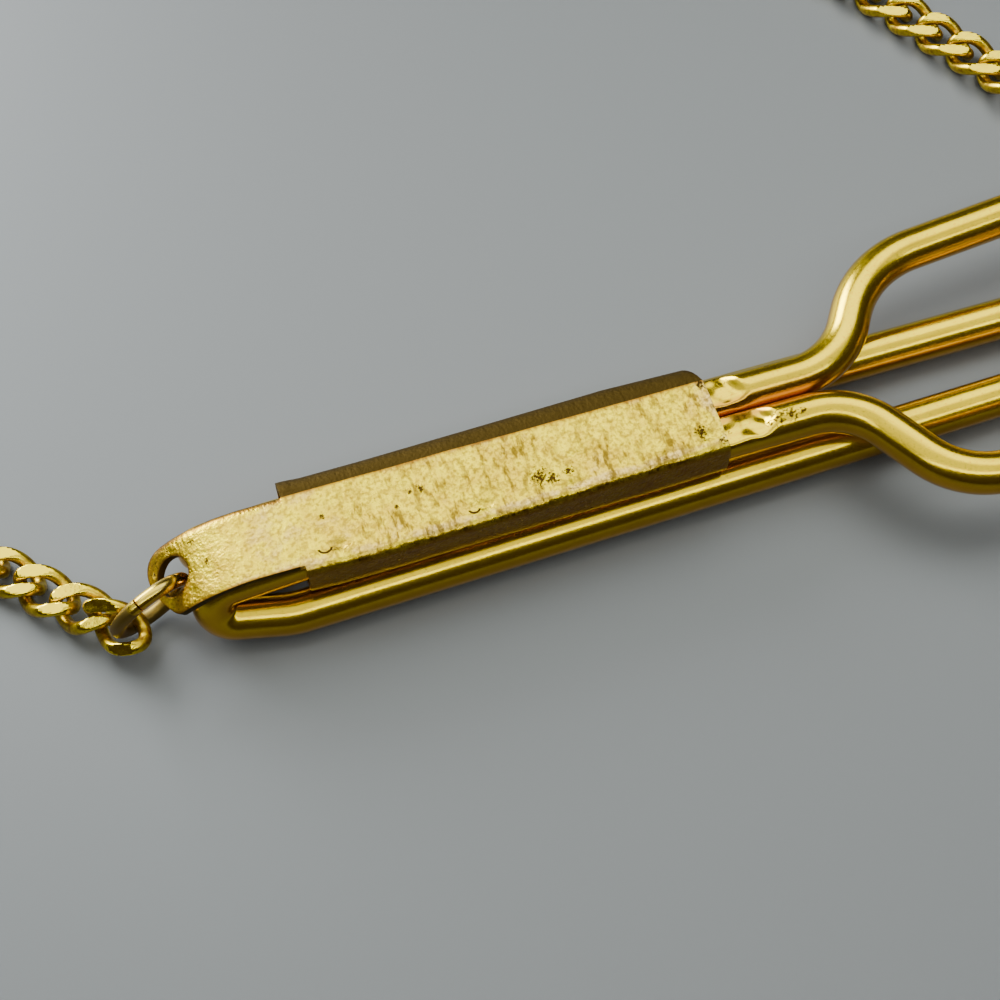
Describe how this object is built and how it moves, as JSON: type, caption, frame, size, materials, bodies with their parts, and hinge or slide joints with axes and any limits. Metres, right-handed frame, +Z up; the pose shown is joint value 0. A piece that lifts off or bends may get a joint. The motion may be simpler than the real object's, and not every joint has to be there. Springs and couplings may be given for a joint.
{
  "type": "tie bar",
  "caption": "Spring wire tie clip with a crimped sleeve, a pierced curled tongue and a loop of curb chain that keeps it on a shirt button.",
  "frame": {"origin": "middle of the part's bounding box, on the surface that it lies on", "axes": "+X along the clip towards its open jaws, +Y across the clip towards the loop of chain, +Z up"},
  "size_m": [0.0532, 0.0434, 0.0037],
  "materials": {
    "wire_brass": "satin gilt wire, worn and pitted near the sleeve",
    "sleeve_brass": "worn gilt sheet with pale rubbed edges and dark corrosion spots",
    "ring_brass": "drawn gilt wire, partly tarnished brown",
    "chain_brass": "bright polished gilt links with flat facets"
  },
  "bodies": {
    "root": {"spring_wire": "wire_brass", "sleeve": "sleeve_brass", "ring_left": "ring_brass", "chain": "chain_brass", "ring_right": "ring_brass"}
  },
  "joints": []
}
